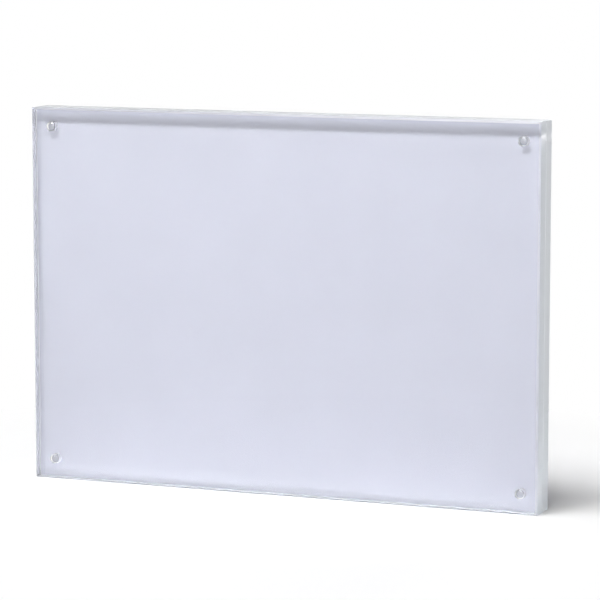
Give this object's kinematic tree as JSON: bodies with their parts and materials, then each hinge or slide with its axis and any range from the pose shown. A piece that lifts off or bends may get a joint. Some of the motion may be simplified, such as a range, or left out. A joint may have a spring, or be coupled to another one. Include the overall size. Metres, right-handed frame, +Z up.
{
  "type": "acrylic sign holder",
  "caption": "Free-standing landscape sign holder: clear acrylic panels held face to face by corner magnets over a loose blank sheet, so that both sides can show a sign.",
  "frame": {"origin": "centre of the bottom of the bounding box, on the surface that the block stands on, midway between its front and rear faces", "axes": "+X along the width to the viewer's right, -Y out of the front face towards the viewer, +Z up"},
  "size_m": [0.297, 0.0208, 0.21],
  "materials": {
    "acrylic": "clear cast acrylic, diamond polished on faces and edges",
    "card": "smooth matt white card, blank",
    "nickel": "bright nickel plating"
  },
  "bodies": {
    "rear_half": {"rear_panel": "acrylic", "rear_magnet_top_left": "nickel", "rear_magnet_top_right": "nickel", "rear_magnet_bottom_left": "nickel", "rear_magnet_bottom_right": "nickel"},
    "front_half": {"front_panel": "acrylic", "front_magnet_top_left": "nickel", "front_magnet_top_right": "nickel", "front_magnet_bottom_left": "nickel", "front_magnet_bottom_right": "nickel"},
    "insert": {"insert_sheet": "card"}
  },
  "joints": [
    {"name": "front_pull_off", "type": "slide", "parent": "rear_half", "child": "front_half", "axis": [0, -1, 0], "range_m": [0, 0.1]},
    {"name": "insert_draw_out", "type": "slide", "parent": "rear_half", "child": "insert", "axis": [0, 0, 1], "range_m": [0, 0.215]}
  ]
}
